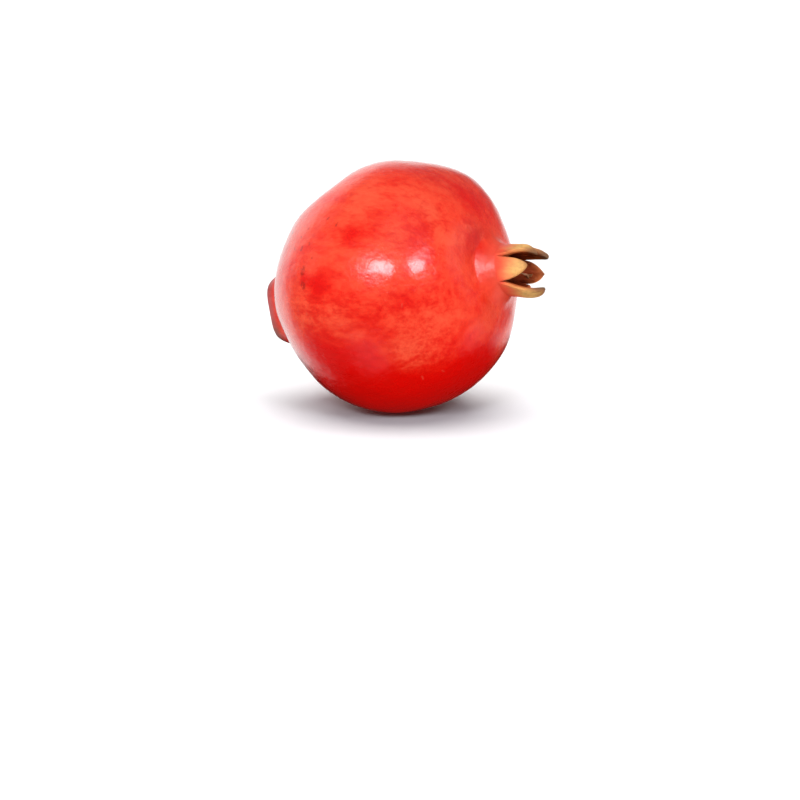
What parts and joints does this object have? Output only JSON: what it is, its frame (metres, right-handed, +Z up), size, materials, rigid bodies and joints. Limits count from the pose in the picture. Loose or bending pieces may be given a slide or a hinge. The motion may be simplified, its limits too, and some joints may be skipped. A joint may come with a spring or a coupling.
{
  "type": "pomegranate",
  "caption": "Whole ripe pomegranate lying on its side, a red round fruit with an open crown of pointed calyx lobes round a cup of dry stamens, and a knob with a cut stalk at the other end.",
  "frame": {"origin": "middle of the small flat spot on the rind that the fruit lies on", "axes": "+Z up, +X towards the crown in plan (the fruit's own axis rises 13 degrees above +X), +Y across the fruit"},
  "size_m": [0.1077, 0.0876, 0.0889],
  "materials": {
    "rind": "waxy, semi-gloss, finely pored",
    "dried_stamen": "dry, matt"
  },
  "bodies": {
    "root": {"fruit": "rind", "stamens": "dried_stamen"}
  },
  "joints": []
}
